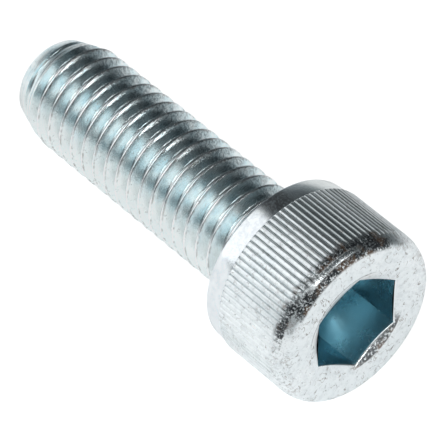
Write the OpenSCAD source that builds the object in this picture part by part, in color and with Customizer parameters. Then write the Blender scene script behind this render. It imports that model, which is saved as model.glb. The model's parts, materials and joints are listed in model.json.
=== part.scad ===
// Hex socket cap screw with a coarse right-hand thread and a straight knurled head.
// It is drawn upright about its own axis, with z = 0 at the bearing face under the head,
// and then laid down so that the rim of its head and the tip of its thread touch z = 0.
// Angles about the screw's axis are counted from the side that faces the ground.

/* [Thread] */
// Outer diameter over the thread's crests, a little under the nominal 10 as a screw is made
thread_d = 9.85; // [9.7:0.05:10]
// Distance from one crest to the next
pitch = 1.5; // [1.25:0.05:1.6]
// Length under the head
length = 30; // [16:1:60]
// Angle between the two flanks of a ridge
flank_angle = 60; // [55:1:62]
// Length at the tip over which the crests are lower and lower
tip_taper = 3.6; // [2:0.1:5]
// Drop of the envelope's radius over the taper at the tip
tip_drop = 1; // [0.6:0.05:1.1]
// Bevel round the flat end of the tip
tip_bevel = 0.4; // [0.2:0.05:0.6]
// Height above the bearing face of the crest that faces the ground, counted past the head
crest_phase = 0.02; // [0:0.01:1.2]

/* [Neck] */
// Diameter of the plain neck under the head, about the blank that the thread is rolled on
neck_d = 9.1; // [8.8:0.05:9.4]
// Length of the plain neck
neck = 1.1; // [0.8:0.1:2]
// Step in radius from the neck down to the end of the thread
neck_step = 0.08; // [0.04:0.01:0.12]
// Length over which the thread runs out into the neck
runout = 0.9; // [0.6:0.1:1.5]
// Radius of the fillet where the neck meets the head
neck_fillet = 0.5; // [0.3:0.05:0.7]

/* [Head] */
// Diameter over the knurl
head_d = 16.2; // [15.8:0.05:17]
// Height of the head
head_h = 9.9; // [9.6:0.05:10.5]
// How far the rounded top edge reaches in from the side
edge_run = 0.95; // [0.6:0.05:1.2]
// How far the rounded top edge reaches down from the face
edge_drop = 1.7; // [1:0.1:2.2]
// Diameter of the smooth band at the bearing face
bearing_d = 15.66; // [15.2:0.02:15.8]
// Height of the smooth band below the knurl
band_h = 1.95; // [1.4:0.05:2.6]
// Step down from the knurl to the smooth band
band_step = 0.12; // [0.05:0.01:0.16]
// Bevel round the bearing face
bearing_bevel = 0.2; // [0.1:0.05:0.3]

/* [Knurl] */
// Number of straight grooves round the head
groove_count = 93; // [60:1:100]
// Depth of a groove
groove_depth = 0.2; // [0.1:0.02:0.26]
// Share of each tooth that is left as a flat land
land_share = 0.42; // [0.2:0.02:0.6]

/* [Socket] */
// Distance across the flats of the socket
socket_af = 8.12; // [7.8:0.02:8.2]
// Depth of the socket's flats
socket_depth = 5.4; // [4.5:0.1:6]
// Slope of the conical bottom that the punch leaves, from the flat
bottom_slope = 30; // [20:1:35]
// Diameter of the shallow dish round the mouth
dish_d = 10.1; // [10:0.1:11]
// Slope of the dish, from the flat
dish_slope = 18; // [5:1:25]

/* [Hidden] */
// Facets of what is round, and columns of points round the thread
$fn = 96;
columns = 30;
// Points of the thread's outline on one column, and steps of the rounded edges
outline_points = 4;
edge_steps = 8;
fillet_steps = 6;
// Least distance between neighbouring edges, depth of hidden joins, and reach of cuts past a face
least_gap = 0.05;
bury = 0.3;
beyond = 1;
// Shares of the standard thread: the cut triangle that a rounded root leaves, and the crest's flat
cut_share = 17 / 24;
crest_share = 1 / 8;

head_r = head_d / 2;
thread_r = thread_d / 2;
neck_r = neck_d / 2;
bearing_r = bearing_d / 2;
face_r = head_r - edge_run;
socket_corner_r = socket_af / 2 / cos(30);
band_r = head_r - band_step;
tooth_angle = 360 / groove_count;
land_angle = tooth_angle * land_share;
groove_angle = tooth_angle - land_angle;
half_column = 180 / columns;

// Depth of a rolled external thread with a rounded root, from the sharp triangle's height
flank_tan = tan(flank_angle / 2);
sharp_height = pitch / 2 / flank_tan;
thread_depth = sharp_height * cut_share;
core_r = thread_r - thread_depth;
crest_half = pitch * crest_share / 2;
foot_half = crest_half + thread_depth * flank_tan;
tip_r = thread_r - tip_drop;
tip_top = tip_bevel - length;

// The thread ends in the neck with a radius a little under it
inner_r = neck_r - neck_step;
runout_start = -neck - runout;

// Radii that a point of the thread keeps between at height z: the run-out at the neck and the tapered tip
function runout_share(z) = max(0, min(1, (z - runout_start) / runout));
function taper_r(z) = tip_r + tip_drop * (z - tip_top) / (tip_taper - tip_bevel);
function least_r(z) = core_r + (inner_r - core_r) * runout_share(z);
function most_r(z) = min(taper_r(z), thread_r + (inner_r - thread_r) * runout_share(z));
function kept_r(r, z) = min(most_r(z), max(least_r(z), r));

// The columns stand off the ground side by half a facet, so that the screw lies on a facet of its thread
function column_angle(column) = (2 * column + 1) * half_column;

// Height of the crest's middle on one column of points, by turns from the first
first_turn = ceil((tip_top + foot_half + least_gap - crest_phase) / pitch);
last_turn = floor((-neck + bury - foot_half - least_gap - crest_phase) / pitch) - 1;
turns = last_turn - first_turn + 1;
function crest_z(turn, column) = crest_phase + pitch * (turn + column_angle(column) / 360);

// The four points of one turn on one column: root, crest, crest, root
function turn_points(turn, column) =
    let (z = crest_z(turn, column), r = kept_r(thread_r, z),
         half = min(foot_half - least_gap, crest_half + (thread_r - r) * flank_tan),
         angle = column_angle(column))
    [for (c = [[core_r, -foot_half], [r, -half], [r, half], [core_r, foot_half]])
        let (k = kept_r(c[0], z + c[1])) [k * cos(angle), k * sin(angle), z + c[1]]];
function ring_points(r, z) =
    [for (column = [0:columns - 1])
        let (angle = column_angle(column)) [r * cos(angle), r * sin(angle), z]];

// Rings of the flat end and its bevel, then the columns' helical points, then the ring in the neck
rows = outline_points * turns;
last_row = rows - 1;
thread_points = concat(
    ring_points(tip_r - tip_bevel, -length),
    ring_points(tip_r, tip_top),
    [for (column = [0:columns - 1], turn = [first_turn:last_turn]) each turn_points(turn, column)],
    ring_points(inner_r, -neck + bury)
);
function end_at(column) = column % columns;
function bevel_at(column) = columns + column % columns;
function helix_at(column, row) =
    2 * columns + (column < columns ? column * rows + row : row + outline_points);
function neck_at(column) = (2 + rows) * columns + column % columns;
function quad(a, b, c, d) = [[a, b, c], [a, c, d]];

thread_faces = concat(
    [[for (column = [0:columns - 1]) end_at(column)]],
    [for (column = [0:columns - 1])
        each quad(end_at(column), bevel_at(column), bevel_at(column + 1), end_at(column + 1))],
    [for (column = [0:columns - 2])
        each quad(bevel_at(column), helix_at(column, 0), helix_at(column + 1, 0), bevel_at(column + 1))],
    [for (column = [0:columns - 1], row = [0:last_row - 1])
        if (column < columns - 1 || row + outline_points < last_row)
            each quad(helix_at(column, row), helix_at(column, row + 1),
                      helix_at(column + 1, row + 1), helix_at(column + 1, row))],
    [for (column = [0:columns - 2])
        each quad(helix_at(column, last_row), neck_at(column),
                  neck_at(column + 1), helix_at(column + 1, last_row))],
    // The seam: the thread's blunt start closes onto the bevel, and its end onto the ring in the neck
    [[bevel_at(columns - 1), helix_at(columns - 1, 0), bevel_at(0)],
     [bevel_at(0), helix_at(columns - 1, 0), helix_at(0, 0)]],
    [for (row = [0:outline_points - 1])
        [helix_at(0, row), helix_at(columns - 1, 0), helix_at(0, row + 1)]],
    [for (row = [last_row - outline_points:last_row - 1])
        [helix_at(columns - 1, row), helix_at(columns - 1, row + 1), helix_at(0, last_row)]],
    [[helix_at(columns - 1, last_row), neck_at(columns - 1), helix_at(0, last_row)],
     [helix_at(0, last_row), neck_at(columns - 1), neck_at(0)]],
    [[for (column = [columns - 1:-1:0]) neck_at(column)]]
);

// Half outline of the head's rounded top edge, from the side to the flat face
head_edge = [for (i = [0:edge_steps])
    let (a = 90 * i / edge_steps) [face_r + edge_run * cos(a), head_h - edge_drop * (1 - sin(a))]];

// Half outline of the smooth band and the bearing face
band_edge = [[bearing_r - bearing_bevel, 0], [bearing_r, bearing_bevel], [band_r, band_h], [head_r, band_h]];

// How far the screw tips towards its tip when it comes to rest: the first point to touch decides
rim_r = head_r * cos(groove_angle / 2);
rest_tilt = min([for (p = thread_points) if (p[2] < -neck) atan((rim_r - p[0]) / (band_h - p[2]))]);
rise = rim_r * cos(rest_tilt) - band_h * sin(rest_tilt);
front_x = max([for (p = head_edge) p[1] * cos(rest_tilt) + p[0] * sin(rest_tilt)]);
back_x = -length * cos(rest_tilt) - (tip_r - tip_bevel) * sin(rest_tilt);

// The plain neck and its fillet under the head
module neck_blank() {
    rotate_extrude()
        polygon(concat(
            [[0, -neck], [neck_r, -neck], [neck_r, -neck_fillet]],
            [for (i = [1:fillet_steps - 1])
                let (a = 90 * i / fillet_steps)
                [neck_r + neck_fillet * (1 - cos(a)), neck_fillet * (sin(a) - 1)]],
            [[neck_r + neck_fillet, 0], [neck_r + neck_fillet, bury], [0, bury]]
        ));
}

// The threaded shank with its tapered and bevelled tip, its end buried in the neck
module thread() {
    polyhedron(points = thread_points, faces = thread_faces, convexity = 20);
}

// The turned head without its knurl
module head_blank() {
    rotate_extrude()
        polygon(concat([[0, 0]], band_edge, head_edge, [[0, head_h]]));
}

// Prism whose sides are the knurl's lands and grooves, with a groove towards the ground,
// so that the rim of the head lies on the two lands beside it
module knurl_prism() {
    groove_r = head_r - groove_depth;
    linear_extrude(height = head_h - band_h + beyond)
        polygon([for (i = [0:groove_count - 1])
            let (a = i * tooth_angle, half = groove_angle / 2)
            each [
                [head_r * cos(a - half), head_r * sin(a - half)],
                [groove_r * cos(a), groove_r * sin(a)],
                [head_r * cos(a + half), head_r * sin(a + half)]
            ]]);
}

// The head: the smooth band as turned, and above it the blank cut down to the knurl
module head() {
    intersection() {
        head_blank();
        union() {
            translate([0, 0, band_h])
                knurl_prism();
            translate([0, 0, -beyond])
                cylinder(r = head_r + beyond, h = band_h + beyond);
        }
    }
}

// Hexagonal socket with one corner towards the ground, a conical bottom and a shallow dish
module socket() {
    bottom_h = socket_af / 2 * tan(bottom_slope);
    dish_h = dish_d / 2 * tan(dish_slope);
    rise_beyond = beyond * tan(dish_slope);
    translate([0, 0, head_h - socket_depth])
        cylinder(r = socket_corner_r, h = socket_depth + beyond, $fn = 6);
    translate([0, 0, head_h - socket_depth - bottom_h])
        cylinder(r1 = 0, r2 = socket_af / 2, h = bottom_h);
    translate([0, 0, head_h - dish_h])
        cylinder(r1 = 0, r2 = dish_d / 2 + beyond, h = dish_h + rise_beyond);
}

// Lays the upright screw down with its head towards +X
module laid_down() {
    translate([-(front_x + back_x) / 2, 0, rise])
        rotate([0, 90 - rest_tilt, 0])
            children();
}

module cap_screw() {
    color("#cfdde2")
        laid_down()
            difference() {
                union() {
                    head();
                    neck_blank();
                    thread();
                }
                socket();
            }
}

cap_screw();
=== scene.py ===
# A zinc-plated hex socket cap screw that lies on its head's rim and its tip.
# The screw is modelled upright about its own axis, with z = 0 at the bearing face under the head,
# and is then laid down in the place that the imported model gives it.
import json
import math

import bmesh
import bpy
from mathutils import Matrix, Vector


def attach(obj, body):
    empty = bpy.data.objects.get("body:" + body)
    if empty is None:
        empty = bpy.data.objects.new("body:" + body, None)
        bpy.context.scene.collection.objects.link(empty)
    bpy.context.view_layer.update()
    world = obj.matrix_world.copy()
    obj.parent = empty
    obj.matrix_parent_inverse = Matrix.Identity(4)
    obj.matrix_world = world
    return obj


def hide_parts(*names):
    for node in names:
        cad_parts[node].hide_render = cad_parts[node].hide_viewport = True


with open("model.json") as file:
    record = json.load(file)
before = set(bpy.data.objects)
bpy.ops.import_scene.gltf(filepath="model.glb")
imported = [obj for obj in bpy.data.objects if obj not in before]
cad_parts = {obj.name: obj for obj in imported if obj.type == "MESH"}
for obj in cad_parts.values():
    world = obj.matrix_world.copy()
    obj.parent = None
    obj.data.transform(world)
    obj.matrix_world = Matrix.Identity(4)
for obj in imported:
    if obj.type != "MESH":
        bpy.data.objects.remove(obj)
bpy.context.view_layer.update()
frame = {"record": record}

# Sizes of the screw, in millimetres, with its angles in degrees
MM = 0.001
THREAD_R = 4.925
CORE_R = 4.005
PITCH = 1.5
LENGTH = 30
CREST_PHASE = 0.02
TIP_R = 3.925
TIP_BEVEL = 0.4
TIP_TAPER = 3.6
NECK_R = 4.55
NECK_END = -1.1
RUNOUT_END = -2.0
FILLET_R = 0.5
HEAD_R = 8.098
HEAD_H = 9.9
EDGE_RUN = 0.95
EDGE_DROP = 1.7
BEARING_R = 7.83
BEARING_BEVEL = 0.2
BAND_H = 1.95
BAND_R = 7.98
TEETH = 93
GROOVE_DEPTH = 0.17
SOCKET_FLAT = 4.06
SOCKET_DEPTH = 5.4
SOCKET_CONE = 30
FLAT_TURNS = (30, 90, 150)
DISH_R = 5.05
DISH_SLOPE = 18

# Where the marks, painted shade and painted highlights on the head and the shank lie, in degrees
# about the screw's axis from the side that faces the ground
OUTER_STAIN_AND_SHADE_TURN = 208
INNER_STAIN_AND_SHADE_TURN = 195
GAP_TURN = 217
STREAK_TURN = 198
GROOVE_SHADE_TURN = 184
KNURL_SHADE_TURN = 166
PITS_AND_SHADE_TURN = 33
SHANK_SHADE_TURN = 156
SMUDGE_TURN = 188
BAND_SHADE_TURN = 150
CREST_LINE_TURN = 190
WARM_SHADE_TURN = 287
PAINTED_DISH_TURN = 213

# Colours of the zinc, of the dirt on it and of its stains, and of the painted shade and painted highlights
# on it
PALE = (0.92, 0.955, 0.965, 1)
PALE_CLOUD = (0.81, 0.875, 0.90, 1)
GREY_MOTTLE = (0.55, 0.60, 0.62, 1)
BLUE = (0.89, 0.97, 0.98, 1)
DEEP_BLUE = (0.73, 0.88, 0.92, 1)
WARM_SHADE_GREY = (0.79, 0.825, 0.82, 1)
SOCKET_SHADE_BLUE = (0.42, 0.63, 0.70, 1)
BARE_CREST = (0.90, 0.92, 0.93, 1)
MOUTH_EDGE_HIGHLIGHT = (0.92, 0.96, 0.97, 1)
DISH_REFLECTION = (0.96, 0.975, 0.98, 1)
BAND_MOTTLE = (0.74, 0.78, 0.83, 1)
BAND_SHADE_GREY = (0.56, 0.60, 0.58, 1)
GROOVE_AND_RIM_SHADE = (0.06, 0.085, 0.095, 1)
KNURL_SHADE_GREY = (0.30, 0.34, 0.35, 1)
SHANK_SHADE = (0.13, 0.17, 0.19, 1)
BAND_SMUDGE = (0.12, 0.09, 0.08, 1)
CREST_SHADE = (0.07, 0.09, 0.10, 1)
CREST_BROWN = (0.22, 0.18, 0.16, 1)
STAIN_AND_SHADE_BLACK = (0.035, 0.04, 0.045, 1)
STAIN_BROWN = (0.15, 0.10, 0.07, 1)

# Fineness of the round shapes
TOOTH_COLUMNS = 8
HEAD_COLUMNS = TEETH * TOOTH_COLUMNS
THREAD_COLUMNS = 120
EDGE_STEPS = 12

# How deep each column of a tooth is pressed in, as a share of the groove's depth. Column 0 is the groove.
DEPTH_SHARES = {7: 0.27, 0: 1, 1: 0.27, 2: 0.035, 6: 0.035}

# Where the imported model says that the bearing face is, and which way the screw points
seat = next(m for m in frame["record"]["mounts"] if m["name"] == "bearing_face")
seat_place = Vector((seat["pos_m"][0], 0, seat["pos_m"][2]))
rest_tilt = math.atan2(-seat["axis"][2], -seat["axis"][0])
lay_angle = math.radians(90) - rest_tilt


# Handling of pieces

def open_piece(piece):
    """Goes into edit mode on one piece, with nothing in it selected."""
    bpy.ops.object.select_all(action="DESELECT")
    bpy.context.view_layer.objects.active = piece
    piece.select_set(True)
    bpy.ops.object.mode_set(mode="EDIT")
    bpy.ops.mesh.select_all(action="DESELECT")


def close_piece():
    bpy.ops.object.mode_set(mode="OBJECT")


def pick_points(piece, wanted):
    """Selects the points whose place, in millimetres, is wanted, with the edges and faces between them."""
    bpy.ops.mesh.select_mode(type="VERT")
    mesh = bmesh.from_edit_mesh(piece.data)
    for point in mesh.verts:
        point.select = wanted(point.co / MM)
    mesh.select_flush(True)
    bmesh.update_edit_mesh(piece.data)


def face_outwards():
    bpy.ops.mesh.select_all(action="SELECT")
    bpy.ops.mesh.remove_doubles(threshold=1e-7)
    bpy.ops.mesh.normals_make_consistent(inside=False)


def combine(piece, tool, operation):
    """Joins, cuts or trims a piece with another, which is then gone."""
    bpy.ops.object.select_all(action="DESELECT")
    bpy.context.view_layer.objects.active = piece
    piece.select_set(True)
    bpy.ops.object.modifier_add(type="BOOLEAN")
    modifier = piece.modifiers[-1]
    modifier.operation = operation
    modifier.solver = "EXACT"
    modifier.object = tool
    bpy.ops.object.modifier_apply(modifier=modifier.name)
    bpy.data.objects.remove(tool)


# Shapes turned about the screw's axis

def turned(name, outline, columns):
    """A round solid drawn up ring by ring from a circle.

    The outline holds (radius, height) from its foot to its top.
    """
    foot_r, foot_z = outline[0]
    bpy.ops.object.select_all(action="DESELECT")
    bpy.ops.mesh.primitive_circle_add(vertices=columns, radius=foot_r * MM, fill_type="NOTHING",
                                      location=(0, 0, foot_z * MM), rotation=(0, 0, -math.pi / 2))
    piece = bpy.context.object
    piece.name = piece.data.name = name
    bpy.ops.object.transform_apply(location=True, rotation=True, scale=True)
    open_piece(piece)
    bpy.ops.mesh.select_all(action="SELECT")
    for (last_r, last_z), (r, z) in zip(outline, outline[1:]):
        bpy.ops.mesh.extrude_region_move(TRANSFORM_OT_translate={"value": (0, 0, (z - last_z) * MM)})
        if r:
            bpy.ops.transform.resize(value=(r / last_r, r / last_r, 1), center_override=(0, 0, z * MM))
        else:
            bpy.ops.mesh.merge(type="CENTER")
    if outline[-1][0]:
        bpy.ops.mesh.edge_face_add()
    pick_points(piece, lambda p: abs(p.z - foot_z) < 1e-3 and abs(p.xy.length - foot_r) < 1e-2)
    bpy.ops.mesh.edge_face_add()
    face_outwards()
    close_piece()
    return piece


def edge_outline():
    """The rounded edge between the head's side and its face."""
    angles = [math.radians(90) * i / EDGE_STEPS for i in range(EDGE_STEPS + 1)]
    return [(HEAD_R - EDGE_RUN * (1 - math.cos(a)), HEAD_H - EDGE_DROP * (1 - math.sin(a))) for a in angles]


def fillet_outline():
    """The hollow fillet between the neck and the bearing face."""
    angles = [math.radians(15) * i for i in range(7)]
    return [(NECK_R + FILLET_R * (1 - math.cos(a)), FILLET_R * (math.sin(a) - 1)) for a in angles]


def knurl(head):
    """Presses the straight grooves into the head's side, row by row, down to one depth."""
    rows = [(HEAD_R - 0.04, BAND_H + 0.02), (HEAD_R, BAND_H + 0.09)] + edge_outline()
    open_piece(head)
    for row_r, row_z in rows:
        for column, share in DEPTH_SHARES.items():
            floor_r = HEAD_R - GROOVE_DEPTH * share
            if row_r <= floor_r:
                continue
            pick_points(head, lambda p: abs(p.z - row_z) < 1e-3 and abs(p.xy.length - row_r) < 1e-2
                        and round(math.atan2(p.y, p.x) / math.tau * HEAD_COLUMNS) % TOOTH_COLUMNS == column)
            bpy.ops.transform.resize(value=(floor_r / row_r, floor_r / row_r, 1), center_override=(0, 0, 0))
    face_outwards()
    close_piece()


def punch_socket(head):
    """Cuts the hexagon and the cone at its bottom, and breaks the sharp edge at its mouth."""
    corner_r = SOCKET_FLAT / math.cos(math.radians(30))
    bottom = HEAD_H - SOCKET_DEPTH
    bpy.ops.object.select_all(action="DESELECT")
    bpy.ops.mesh.primitive_cylinder_add(vertices=6, radius=corner_r * MM, depth=(SOCKET_DEPTH + 1) * MM,
                                        location=(0, 0, (bottom + (SOCKET_DEPTH + 1) / 2) * MM),
                                        rotation=(0, 0, math.radians(30)))
    punch = bpy.context.object
    bpy.ops.object.transform_apply(location=True, rotation=True, scale=True)
    combine(head, punch, "DIFFERENCE")
    cone_r = SOCKET_FLAT - 0.02
    cone_drop = cone_r * math.tan(math.radians(SOCKET_CONE))
    cone = turned("cone_tool", [(cone_r, bottom + 0.5), (cone_r, bottom),
                                  (0.05 * cone_r, bottom - 0.95 * cone_drop), (0, bottom - cone_drop)], 96)
    combine(head, cone, "DIFFERENCE")

    def on_mouth(p):
        turn = math.radians(60)
        off_flat = (math.atan2(p.y, p.x) % turn) - turn / 2
        return p.z > HEAD_H - 0.6 and abs(p.xy.length * math.cos(off_flat) - SOCKET_FLAT) < 2e-3

    open_piece(head)
    pick_points(head, on_mouth)
    bpy.ops.mesh.bevel(offset=0.1 * MM, segments=3, affect="EDGES")
    close_piece()


def make_head():
    """The head with its fillet, smooth band, knurl, rounded edge, dished mouth and socket."""
    neck_outline = [(CORE_R - 0.105, RUNOUT_END - 0.2), (NECK_R - 0.08, NECK_END), (NECK_R, NECK_END)]
    band_outline = [(BEARING_R - BEARING_BEVEL, 0), (BEARING_R - 0.06, 0.06), (BEARING_R, BEARING_BEVEL),
                    (BAND_R - 0.003, BAND_H - 0.08),
                    (BAND_R, BAND_H - 0.03), (HEAD_R - 0.04, BAND_H + 0.02), (HEAD_R, BAND_H + 0.09)]
    dish_drop = DISH_R * math.tan(math.radians(DISH_SLOPE))
    mouth_outline = [(DISH_R + 0.1, HEAD_H), (DISH_R - 0.05, HEAD_H - 0.015), (0, HEAD_H - dish_drop)]
    outline = neck_outline + fillet_outline() + band_outline + edge_outline() + mouth_outline
    head = turned("cap_screw_dressed", outline, HEAD_COLUMNS)
    knurl(head)
    punch_socket(head)
    return head


# The rolled thread

def ridge_outline():
    """One pitch of a rolled thread: a round root, straight flanks and a slightly broken crest."""
    root_round = 0.1443 * PITCH
    crest_half = PITCH / 16
    half = [(CORE_R + root_round * (1 - math.cos(math.radians(b))),
             -PITCH / 2 + root_round * math.sin(math.radians(b))) for b in (0, 15, 30, 45, 60)]
    half += [(THREAD_R - 0.06, -crest_half - 0.035), (THREAD_R - 0.02, -crest_half - 0.008),
             (THREAD_R, -crest_half + 0.025)]
    return half + [(r, -z) for r, z in reversed(half)]


def make_thread():
    """The threaded shank: a ridge drawn point by point, wound up, and trimmed at the tip and the neck."""
    ridge = ridge_outline()
    start_z = CREST_PHASE - PITCH * math.ceil((LENGTH + 2) / PITCH)
    turns = math.ceil((2 - start_z) / PITCH)
    bpy.ops.object.select_all(action="DESELECT")
    bpy.ops.mesh.primitive_plane_add(size=MM)
    thread = bpy.context.object
    open_piece(thread)
    bpy.ops.mesh.select_all(action="SELECT")
    bpy.ops.mesh.merge(type="CENTER")
    bpy.ops.transform.translate(value=(ridge[0][0] * MM, 0, (start_z + ridge[0][1]) * MM))
    for (last_r, last_z), (r, z) in zip(ridge, ridge[1:]):
        step = ((r - last_r) * MM, 0, (z - last_z) * MM)
        bpy.ops.mesh.extrude_region_move(TRANSFORM_OT_translate={"value": step})
    close_piece()
    bpy.ops.object.modifier_add(type="SCREW")
    winding = thread.modifiers[-1]
    winding.angle = math.tau
    winding.screw_offset = PITCH * MM
    winding.iterations = turns
    winding.steps = winding.render_steps = THREAD_COLUMNS
    winding.use_merge_vertices = True
    winding.merge_threshold = 1e-6
    bpy.ops.object.modifier_apply(modifier=winding.name)

    open_piece(thread)
    for height, side in ((-LENGTH - 0.4, {"clear_inner": True}), (0.4, {"clear_outer": True})):
        bpy.ops.mesh.select_all(action="SELECT")
        bpy.ops.mesh.bisect(plane_co=(0, 0, height * MM), plane_no=(0, 0, 1), use_fill=True, **side)
    face_outwards()
    close_piece()

    blank_r = THREAD_R + 0.4
    tip_top = TIP_BEVEL - LENGTH
    taper_end = tip_top + (TIP_TAPER - TIP_BEVEL) * (blank_r - TIP_R) / (THREAD_R - TIP_R)
    neck_slope = (THREAD_R - NECK_R + 0.11) / (NECK_END - RUNOUT_END)
    blank = turned("blank_tool", [(TIP_R - TIP_BEVEL, -LENGTH), (TIP_R - 0.1, tip_top - 0.08),
                                  (TIP_R + 0.02, tip_top + 0.06), (blank_r, taper_end),
                                  (blank_r, RUNOUT_END - (blank_r - THREAD_R) / neck_slope),
                                  (NECK_R - 0.11, NECK_END), (NECK_R - 0.11, 0.3)], THREAD_COLUMNS)
    combine(thread, blank, "INTERSECT")
    return thread


def lay_down(piece):
    """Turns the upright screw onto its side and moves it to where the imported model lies."""
    bpy.ops.object.select_all(action="DESELECT")
    bpy.context.view_layer.objects.active = piece
    piece.select_set(True)
    piece.rotation_euler = (0, lay_angle, 0)
    piece.location = seat_place
    bpy.ops.object.transform_apply(location=True, rotation=True, scale=True)


def make_screw():
    """The whole screw in one piece, lying as it rests."""
    screw = make_head()
    combine(screw, make_thread(), "UNION")
    open_piece(screw)
    face_outwards()
    close_piece()
    lay_down(screw)
    bpy.ops.object.shade_smooth_by_angle(angle=math.radians(32))
    return screw


# Finishes

class Wire:
    """An output of a finish's nodes. Python's operators on it add Math nodes."""

    def __init__(self, finish, socket):
        self.finish, self.socket = finish, socket

    def sibling(self, out):
        """Another output of the same node."""
        return Wire(self.finish, self.socket.node.outputs[out])

    def __add__(self, other):
        return self.finish.sum_up("ADD", self, other)

    def __sub__(self, other):
        return self.finish.sum_up("SUBTRACT", self, other)

    def __rsub__(self, other):
        return self.finish.sum_up("SUBTRACT", other, self)

    def __mul__(self, other):
        return self.finish.sum_up("MULTIPLY", self, other)

    def __truediv__(self, other):
        return self.finish.sum_up("DIVIDE", self, other)

    __radd__, __rmul__ = __add__, __mul__


class Finish:
    """The nodes of a material or of the world."""

    def __init__(self, owner):
        owner.use_nodes = True
        self.owner, self.tree = owner, owner.node_tree
        self.tree.nodes.clear()

    def node(self, kind, settings=None, out=0, **inputs):
        """Any node. Its settings are set first, then its inputs, which take numbers, colours or wires.

        An input goes by its name, or by i and its number.
        """
        node = self.tree.nodes.new(kind)
        for key, value in (settings or {}).items():
            setattr(node, key, value)
        for key, value in inputs.items():
            numbered = key[0] == "i" and key[1:].isdigit()
            socket = node.inputs[int(key[1:]) if numbered else key.replace("_", " ")]
            if isinstance(value, Wire):
                self.tree.links.new(value.socket, socket)
            else:
                socket.default_value = value
        return Wire(self, node.outputs[out]) if node.outputs else None

    def sum_up(self, operation, first, second=0.0):
        return self.node("ShaderNodeMath", {"operation": operation}, i0=first, i1=second)

    def most(self, first, second):
        return self.sum_up("MAXIMUM", first, second)

    def between(self, value, low, high):
        """0 below low, 1 above high, and a soft step between them."""
        return self.node("ShaderNodeMapRange", {"interpolation_type": "SMOOTHSTEP"},
                         Value=value, From_Min=low, From_Max=high)

    def mix(self, share, first, second):
        """From the first colour to the second, by share."""
        return self.node("ShaderNodeMix", {"data_type": "RGBA"}, out=2, i0=share, i6=first, i7=second)

    def noise(self, place, scale, detail=2.0, rough=0.5):
        return self.node("ShaderNodeTexNoise", Vector=place, Scale=scale, Detail=detail, Roughness=rough)

    def stretched(self, place, scale):
        return self.node("ShaderNodeMapping", {"vector_type": "POINT"}, Vector=place, Scale=scale)


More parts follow.
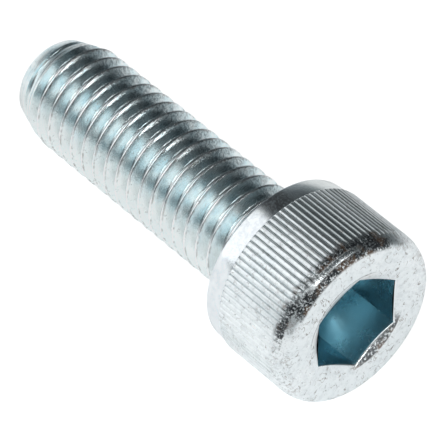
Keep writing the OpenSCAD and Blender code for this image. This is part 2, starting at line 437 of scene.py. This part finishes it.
class Skin(Finish):
    """The screw's finish, which knows each point's place on the upright screw.

    The limits of its zones are in millimetres: z is the height above the bearing face.
    """

    def __init__(self, material):
        super().__init__(material)
        place = self.node("ShaderNodeTexCoord", out=3)
        self.own = self.node("ShaderNodeMapping", {"vector_type": "TEXTURE"}, Vector=place,
                             Location=seat_place, Rotation=(0, lay_angle, 0), Scale=(MM, MM, MM))
        self.x = self.node("ShaderNodeSeparateXYZ", Vector=self.own)
        self.y, self.z = self.x.sibling(1), self.x.sibling(2)
        self.radius = self.sum_up("SQRT", self.x * self.x + self.y * self.y)
        self.add_patterns()
        self.add_head_zones()
        self.add_shank_zones()
        self.add_stain_and_shade_zones()

    def near_turn(self, degrees, outer, inner):
        """1 within the inner angle from one side of the screw, 0 past the outer angle."""
        turn = math.radians(degrees)
        cosine = (self.x * math.cos(turn) + self.y * math.sin(turn)) / self.radius
        return self.between(cosine, math.cos(math.radians(outer)), math.cos(math.radians(inner)))

    def across_flats(self):
        """How far a point lies from the screw's axis, measured square to the socket's flats."""
        flats = [self.sum_up("ABSOLUTE", self.x * math.cos(turn) + self.y * math.sin(turn))
                 for turn in map(math.radians, FLAT_TURNS)]
        return self.most(self.most(flats[0], flats[1]), flats[2])

    def add_patterns(self):
        """Noises of several sizes, which the colours and the gloss share."""
        self.clouds = self.noise(self.own, 0.35, 3.0)
        self.fine = self.noise(self.own, 2.2, 4.0, 0.6)
        self.grit = self.noise(self.own, 4.2, 5.0, 0.75)
        self.patches = self.noise(self.own, 0.75, 3.0, 0.6)
        self.mottle = self.noise(self.own, 1.7, 5.0, 0.75)
        self.streaks = self.noise(self.stretched(self.own, (7.0, 7.0, 0.4)), 1.0, 3.0, 0.6)

    def add_head_zones(self):
        """1 on a part of the head and 0 elsewhere."""
        z, radius, between = self.z, self.radius, self.between
        outside = between(radius, 7.2, 7.7)
        self.band = between(z, -0.6, 0.0) * outside * (1 - between(z, 1.9, 2.0))
        self.side = outside * between(z, 1.9, 2.1)
        self.groove = self.side * (1 - between(radius, 7.93, 8.02)) * (1 - between(z, 8.2, 8.6))
        self.edge = between(z + 1.5 * (self.patches - 0.5), 7.9, 8.7) * between(radius, 7.0, 7.35)
        self.face = between(z, 9.5, 9.85) * (1 - self.edge * 0.5)
        self.dish = between(z, 9.4, 9.5) * (1 - between(radius, 4.95, 5.1))
        self.dish_rim = (between(z, 9.8, 9.85) * between(radius, 4.95, 5.02)
                         * (1 - between(radius, 5.06, 5.13)))
        self.socket = (between(z, 1.0, 1.6) * (1 - between(radius, 4.66, 4.72))
                       * (1 - between(z, 9.4, 9.62)))
        self.mouth_edge = between(z, 9.3, 9.42) * (1 - between(self.across_flats(), 4.14, 4.19))

    def add_shank_zones(self):
        """1 on a part of the shank and 0 elsewhere. A lap runs from 0 to 1 over one pitch of the thread."""
        between = self.between
        self.shank = 1 - between(self.z, -0.6, 0.0)
        self.crest = self.shank * between(self.radius, 4.82, 4.9)
        self.ridge = self.shank * between(self.radius, 4.0, 4.2)
        turned_by = self.sum_up("ARCTAN2", self.y, self.x) / math.tau
        lap = self.sum_up("FRACT", self.z / PITCH - turned_by + 50)
        self.crest_back = self.ridge * between(lap, 0.93, 0.95) * (1 - between(lap, 0.985, 1.0))
        self.crest_front = self.ridge * between(lap, 0.07, 0.085) * (1 - between(lap, 0.11, 0.15))

    def add_stain_and_shade_zones(self):
        """Where the rounded edge is stained, more heavily on one side where the stain also stands as painted
        shade, and the bright streak that is rubbed into it.
        """
        outer = self.near_turn(OUTER_STAIN_AND_SHADE_TURN, 52, 41) * (1 - 0.4 * self.near_turn(GAP_TURN, 14, 6))
        inner = self.near_turn(INNER_STAIN_AND_SHADE_TURN, 46, 36)
        self.stain_and_shade_side = outer + (inner - outer) * self.between(self.z, 9.1, 9.35)
        self.streak = (self.near_turn(STREAK_TURN, 24, 12) * self.between(self.z, 9.0, 9.15)
                       * (1 - self.between(self.z, 9.45, 9.55)))


def film_with_painted_light(skin):
    """The zinc's colours: pale on the head and bluer on the thread, with painted shade in a darker blue in
    the socket, on one side of the thread and on the band's upper side, a painted highlight on the socket's
    mouth edge and a painted reflection on one side of the dish.
    """
    pale = skin.mix(skin.clouds, PALE, PALE_CLOUD)
    pale = skin.mix(skin.between(skin.mottle, 0.44, 0.66) * 0.4, pale, GREY_MOTTLE)
    blue = skin.mix(skin.between(skin.patches, 0.35, 0.65), BLUE, DEEP_BLUE)
    film = skin.mix(skin.shank, pale, blue)
    # Painted shade: one side of the thread is coloured greyer and warmer.
    film = skin.mix(skin.shank * skin.near_turn(WARM_SHADE_TURN, 50, 20) * 0.8, film, WARM_SHADE_GREY)
    # Painted shade: the socket's walls and bottom are coloured a darker blue than the rest of the zinc.
    film = skin.mix(skin.socket, film, SOCKET_SHADE_BLUE)
    film = skin.mix(skin.crest * skin.between(skin.fine, 0.35, 0.6), film, BARE_CREST)
    # Painted highlight: the socket's mouth edge is coloured pale against the socket's painted shade.
    film = skin.mix(skin.mouth_edge, film, MOUTH_EDGE_HIGHLIGHT)
    # Painted reflection: one side of the dish is coloured lighter.
    film = skin.mix(skin.dish * skin.near_turn(PAINTED_DISH_TURN, 60, 40), film, DISH_REFLECTION)
    film = skin.mix(skin.band * skin.between(skin.mottle, 0.4, 0.58) * 0.5, film, BAND_MOTTLE)
    # Painted shade: the band is coloured darker on its upper side.
    return skin.mix(skin.band * skin.near_turn(BAND_SHADE_TURN, 26, 10) * 0.55, film, BAND_SHADE_GREY)


def soiled_and_shaded_film(skin):
    """The film with painted shade in the knurl's grooves and on the knurl's and the thread's upper sides, a
    painted shade line on the dish's rim, a smudge on the band, and lines on the crests: painted shade on one
    side of them and brown specks on the other.
    """
    # Painted shade: the knurl's grooves darken on the upper side, and a dark line runs along one side of the
    # dish's rim.
    groove_and_rim_shade = skin.most(skin.groove * 0.75 * skin.near_turn(GROOVE_SHADE_TURN, 48, 24),
                     skin.dish_rim * 0.5 * skin.near_turn(PAINTED_DISH_TURN, 60, 40))
    # Painted shade: the knurl's upper side is coloured a darker grey.
    knurl_shade = skin.side * skin.near_turn(KNURL_SHADE_TURN, 27, 13)
    # Painted shade: the thread's upper side is coloured darker, mottled by the grit noise.
    shank_shade = (skin.ridge * skin.near_turn(SHANK_SHADE_TURN, 26, 10)
             * (0.3 + 0.5 * skin.between(skin.grit, 0.45, 0.6)))
    smudge = skin.band * skin.near_turn(SMUDGE_TURN, 10, 3) * skin.between(skin.grit, 0.42, 0.52)
    back_line = skin.crest_back * (0.25 + 0.55 * skin.near_turn(CREST_LINE_TURN, 75, 35))
    front_specks = skin.crest_front * skin.between(skin.mottle, 0.44, 0.62) * 0.5
    film = skin.mix(groove_and_rim_shade, film_with_painted_light(skin), GROOVE_AND_RIM_SHADE)
    film = skin.mix(knurl_shade * 0.72, film, KNURL_SHADE_GREY)
    film = skin.mix(shank_shade, film, SHANK_SHADE)
    film = skin.mix(smudge * 0.55, film, BAND_SMUDGE)
    film = skin.mix(back_line, film, CREST_SHADE)
    return skin.mix(front_specks, film, CREST_BROWN)


def dark_marks(skin):
    """Stains on the rounded edge, heavier on one side as painted shade, pits on one side of the dish that
    also stand as painted shade, and thin specks and scratches on the rest.
    """
    flecks = skin.between(skin.noise(skin.own, 5.5, 3.0, 0.7), 0.54, 0.60)
    # Stains all round the rounded edge, made darker and denser on one side as painted shade.
    stain_and_shade = skin.between(skin.grit + 0.3 * (skin.patches - 0.5) + 0.17 * skin.stain_and_shade_side, 0.515, 0.605)
    stain_and_shade = skin.edge * stain_and_shade * (1 - 0.85 * flecks) * (1 - skin.streak)
    # Pits in the dish, on one side only, where they also stand as painted shade.
    pits_and_shade = skin.dish * (1 - skin.mouth_edge) * skin.near_turn(PITS_AND_SHADE_TURN, 44, 26)
    pits_and_shade = pits_and_shade * skin.between(skin.grit, 0.40, 0.50)
    specks = skin.between(skin.noise(skin.own, 3.0, 4.0, 0.8), 0.58, 0.68)
    specks = specks * (0.62 * skin.face + 0.55 * skin.side + 0.3 * skin.shank)
    off_line = skin.sum_up("ABSOLUTE", skin.noise(skin.own, 1.0, 2.0, 0.5) - 0.5)
    scratches = (1 - skin.between(off_line, 0.004, 0.016)) * skin.between(skin.patches, 0.5, 0.56)
    marks = skin.most(stain_and_shade * (0.45 + 0.52 * skin.stain_and_shade_side), specks)
    marks = skin.most(marks, pits_and_shade * 0.9)
    return skin.most(marks, scratches * (0.75 * skin.face + 0.3 * skin.side))


def roughness(skin, marks):
    """Satin, rougher in clouds and under marks, and smoother where the metal is rubbed or clean."""
    rough = 0.2 + 0.1 * skin.clouds + 0.1 * skin.fine + 0.1 * skin.edge * skin.stain_and_shade_side
    rough = rough - 0.2 * skin.streak + 0.3 * marks
    return rough - 0.04 * skin.socket - 0.1 * skin.mouth_edge - 0.09 * skin.band - 0.055 * skin.shank


def relief(skin):
    """Fine bumps all over, coarser grit on the edge, face, side and shank, and drawn lines on the side."""
    coarse = skin.edge * (0.6 + 2.0 * skin.stain_and_shade_side) * (1 - 0.8 * skin.streak)
    coarse = coarse + skin.face * 2.2 + skin.side * 0.8 + skin.shank
    height = 0.3 * skin.fine + coarse * skin.grit + skin.side * skin.streaks
    return skin.node("ShaderNodeBump", Strength=0.4, Distance=0.03 * MM, Height=height)


def zinc_finish():
    """Bright zinc under a thin blue film, soiled and stained, with painted shade, painted highlights and a
    painted reflection.
    """
    zinc = Skin(bpy.data.materials.new("bright_zinc"))
    marks = dark_marks(zinc)
    # Black and brown for the stains and pits; the black also carries the painted shade on the rounded edge
    # and the dish.
    stain_and_shade_colour = zinc.mix(zinc.between(zinc.patches, 0.49, 0.6), STAIN_AND_SHADE_BLACK, STAIN_BROWN)
    shader = zinc.node("ShaderNodeBsdfPrincipled", Metallic=1.0, Roughness=roughness(zinc, marks),
                       Base_Color=zinc.mix(marks, soiled_and_shaded_film(zinc), stain_and_shade_colour),
                       Normal=relief(zinc))
    zinc.node("ShaderNodeOutputMaterial", Surface=shader)
    return zinc.owner


def floor_finish():
    """A matt white table that the camera and the metal see as white, with the screw's soft shadow on it."""
    white = Finish(bpy.data.materials.new("white_table"))
    grain = white.noise(white.node("ShaderNodeTexCoord", out=3), 300.0, 2.0)
    tone = white.mix(grain, (0.80, 0.80, 0.80, 1), (0.83, 0.83, 0.83, 1))
    matt = white.node("ShaderNodeBsdfPrincipled", Base_Color=tone, Roughness=0.9)
    rays = white.node("ShaderNodeLightPath")
    brightness = 0.8 * rays.sibling("Is Camera Ray") + 0.54 * rays.sibling("Is Glossy Ray")
    lift = white.node("ShaderNodeEmission", Color=(1, 1, 1, 1), Strength=brightness)
    white.node("ShaderNodeOutputMaterial", Surface=white.node("ShaderNodeAddShader", i0=matt, i1=lift))
    return white.owner


# The studio

def make_floor():
    """A wide table, a hair below the screw."""
    gap = 0.03 * MM
    bpy.ops.object.select_all(action="DESELECT")
    bpy.ops.mesh.primitive_plane_add(size=3, location=(0, 0, -gap))
    floor = bpy.context.object
    floor.name = "table"
    bpy.ops.object.transform_apply(location=True, rotation=True, scale=True)
    floor.data.materials.append(floor_finish())


def softbox(name, towards, distance, across, along, brightness):
    """A rectangular lamp that faces the screw, measured along the screw's axis and across it."""
    bpy.ops.object.light_add(type="AREA")
    lamp = bpy.context.object
    lamp.name = name
    lamp.data.shape = "RECTANGLE"
    lamp.data.size, lamp.data.size_y = along, across
    lamp.data.energy = brightness * math.pi * across * along
    lamp.visible_camera = False
    back = Vector(towards).normalized()
    screw_line = Vector((math.cos(rest_tilt), 0, math.sin(rest_tilt)))
    right = (screw_line - back * screw_line.dot(back)).normalized()
    up = back.cross(right)
    lamp.matrix_world = Matrix.Translation(back * distance) @ Matrix((right, up, back)).transposed().to_4x4()


def make_lights():
    """A broad lamp for the screw's sides, and three small ones.

    The front one is for the thread's flanks and the rounded edge, the side one for the highlight in
    the socket, and the top one for the streak on the rounded edge.
    """
    softbox("main_softbox", towards=(-0.63, -0.52, 0.575), distance=0.45,
            across=0.45, along=0.60, brightness=1.08)
    softbox("front_softbox", towards=(0.35, -0.52, 0.78), distance=0.60,
            across=0.22, along=0.24, brightness=2.6)
    softbox("side_softbox", towards=(0.93, 0.26, 0.29), distance=0.50,
            across=0.12, along=0.12, brightness=11.0)
    softbox("top_softbox", towards=(0.41, 0.20, 0.88), distance=0.50,
            across=0.22, along=0.05, brightness=5.5)


def make_surroundings():
    """A dim blue-grey room, lighter towards the horizon, around the screw. The camera sees white."""
    world = bpy.data.worlds.new("room")
    bpy.context.scene.world = world
    room = Finish(world)
    height = room.node("ShaderNodeSeparateXYZ", out=2, Vector=room.node("ShaderNodeTexCoord"))
    dimness = room.node("ShaderNodeMapRange", {"interpolation_type": "SMOOTHSTEP"}, Value=height,
                        From_Min=-0.05, From_Max=0.36, To_Min=0.36, To_Max=0.08)
    seen = room.node("ShaderNodeLightPath")
    walls = room.node("ShaderNodeBackground", Color=(0.84, 0.95, 1.0, 1), Strength=dimness)
    white = room.node("ShaderNodeBackground", Color=(1, 1, 1, 1))
    room.node("ShaderNodeOutputWorld", Surface=room.node("ShaderNodeMixShader", i0=seen, i1=walls, i2=white))


def make_camera():
    """A long lens that looks down on the screw from beyond its head."""
    place = Vector((177.355, -173.915, 272.748)) * MM
    ahead = Vector((-0.481044, 0.478965, -0.734295))
    right = Vector((0.637306, 0.766206, 0.082274))
    bpy.ops.object.camera_add()
    camera = bpy.context.object
    camera.data.lens = 353.58
    camera.data.sensor_width = 36
    camera.data.clip_start, camera.data.clip_end = 0.01, 10
    up = right.cross(ahead)
    camera.matrix_world = Matrix.Translation(place) @ Matrix((right, up, -ahead)).transposed().to_4x4()
    bpy.context.scene.camera = camera


make_camera()
screw = make_screw()
screw.data.materials.clear()
screw.data.materials.append(zinc_finish())
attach(screw, "root")
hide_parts("cap_screw")
make_floor()
make_lights()
make_surroundings()
bpy.context.scene.view_settings.view_transform = "Standard"
